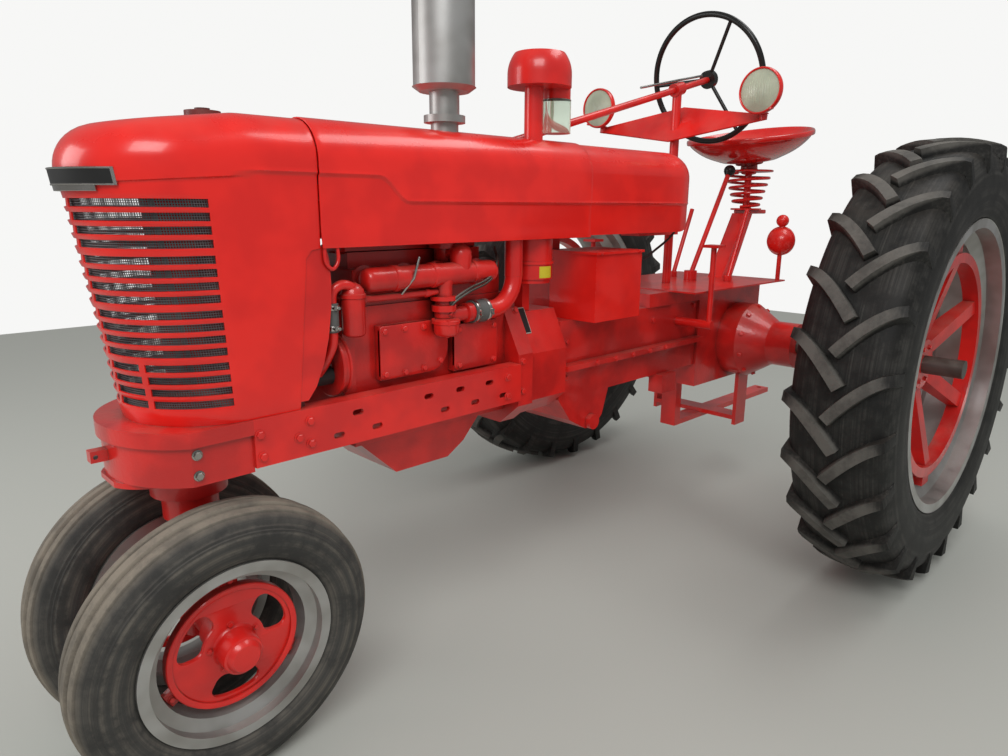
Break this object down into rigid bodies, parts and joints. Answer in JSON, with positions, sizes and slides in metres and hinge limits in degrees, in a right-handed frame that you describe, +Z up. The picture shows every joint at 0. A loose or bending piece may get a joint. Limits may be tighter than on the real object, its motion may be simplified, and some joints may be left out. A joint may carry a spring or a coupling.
{
  "type": "row-crop tractor",
  "caption": "Row-crop tractor with a narrow twin front wheel that steers, free turning wheels, open engine, rounded radiator shell, drawbar and power take-off shaft",
  "frame": {"origin": "on the ground, under the middle of the bounding box", "axes": "+X forward, +Y to the tractor's left, +Z up"},
  "size_m": [3.345, 2.03, 2.204],
  "materials": {
    "red_paint": "semi gloss",
    "dark_red_paint": "satin",
    "black_paint": "satin",
    "silver": "satin",
    "bare_steel": "worn",
    "rear_rubber": "matt",
    "front_rubber": "dusty",
    "hose_rubber": "matt",
    "black_plastic": "glossy",
    "jar_glass": "clear",
    "lens_glass": "clear"
  },
  "bodies": {
    "chassis": {"bolster": "red_paint", "frame_rails": "red_paint", "radiator": "dark_red_paint", "radiator_shell": "red_paint", "hood": "red_paint", "fuel_tank": "red_paint", "engine_block": "red_paint", "oil_pan": "red_paint", "manifold": "red_paint", "carburettor": "red_paint", "air_cleaner": "red_paint", "precleaner_jar": "jar_glass", "intake_pipe": "red_paint", "muffler": "silver", "governor": "red_paint", "water_hoses": "hose_rubber", "accessories": "black_paint", "clutch_housing": "red_paint", "transmission": "red_paint", "battery_box": "red_paint", "axle_carriers": "red_paint", "steering_post": "red_paint", "headlamps": "red_paint", "lamp_lenses": "lens_glass", "seat_pan": "red_paint", "seat_frame": "red_paint", "platform": "red_paint", "controls": "red_paint", "rear_lamp": "red_paint", "drawbar": "red_paint"},
    "rear_wheel_left": {"axle_bar_left": "bare_steel", "rear_tyre_left": "rear_rubber", "rear_rim_left": "silver", "rear_centre_left": "red_paint"},
    "rear_wheel_right": {"axle_bar_right": "bare_steel", "rear_tyre_right": "rear_rubber", "rear_rim_right": "silver", "rear_centre_right": "red_paint"},
    "steering": {"pedestal": "red_paint"},
    "front_wheel_left": {"front_tyre_left": "front_rubber", "front_rim_left": "silver", "front_disc_left": "red_paint"},
    "front_wheel_right": {"front_tyre_right": "front_rubber", "front_rim_right": "silver", "front_disc_right": "red_paint"},
    "steering_gear": {"steering_shaft": "red_paint", "steering_wheel": "black_plastic"},
    "fan": {"fan": "dark_red_paint"},
    "belt_pulley": {"belt_pulley": "red_paint"},
    "pto_shaft": {"pto_shaft": "bare_steel"}
  },
  "joints": [
    {"name": "rear_left_spin", "type": "hinge", "parent": "chassis", "child": "rear_wheel_left", "pos_m": [-0.9075, 0.86, 0.765], "axis": [0, 1, 0], "continuous": true},
    {"name": "rear_right_spin", "type": "hinge", "parent": "chassis", "child": "rear_wheel_right", "pos_m": [-0.9075, -0.86, 0.765], "axis": [0, 1, 0], "continuous": true},
    {"name": "pedestal_turn", "type": "hinge", "parent": "chassis", "child": "steering", "pos_m": [1.3325, 0, 0.664], "axis": [0, 0, 1], "range_deg": [-65, 65]},
    {"name": "front_left_spin", "type": "hinge", "parent": "steering", "child": "front_wheel_left", "pos_m": [1.3325, 0.157, 0.33889], "axis": [0, 0.9962, -0.0872], "continuous": true},
    {"name": "front_right_spin", "type": "hinge", "parent": "steering", "child": "front_wheel_right", "pos_m": [1.3325, -0.157, 0.33889], "axis": [0, 0.9962, 0.0872], "continuous": true},
    {"name": "steering_wheel_turn", "type": "hinge", "parent": "chassis", "child": "steering_gear", "pos_m": [-0.8015, 0, 1.79], "axis": [0.9646, 0, -0.2639], "range_deg": [-390, 390]},
    {"name": "fan_spin", "type": "hinge", "parent": "chassis", "child": "fan", "pos_m": [1.0135, 0, 1.09], "axis": [1, 0, 0], "continuous": true},
    {"name": "belt_pulley_spin", "type": "hinge", "parent": "chassis", "child": "belt_pulley", "pos_m": [-0.0275, -0.31, 0.83], "axis": [0, 1, 0], "continuous": true},
    {"name": "pto_spin", "type": "hinge", "parent": "chassis", "child": "pto_shaft", "pos_m": [-1.1575, 0, 0.64], "axis": [1, 0, 0], "continuous": true}
  ],
  "couplings": [
    {"joint": "steering_wheel_turn", "follows": "pedestal_turn", "ratio": -6}
  ]
}
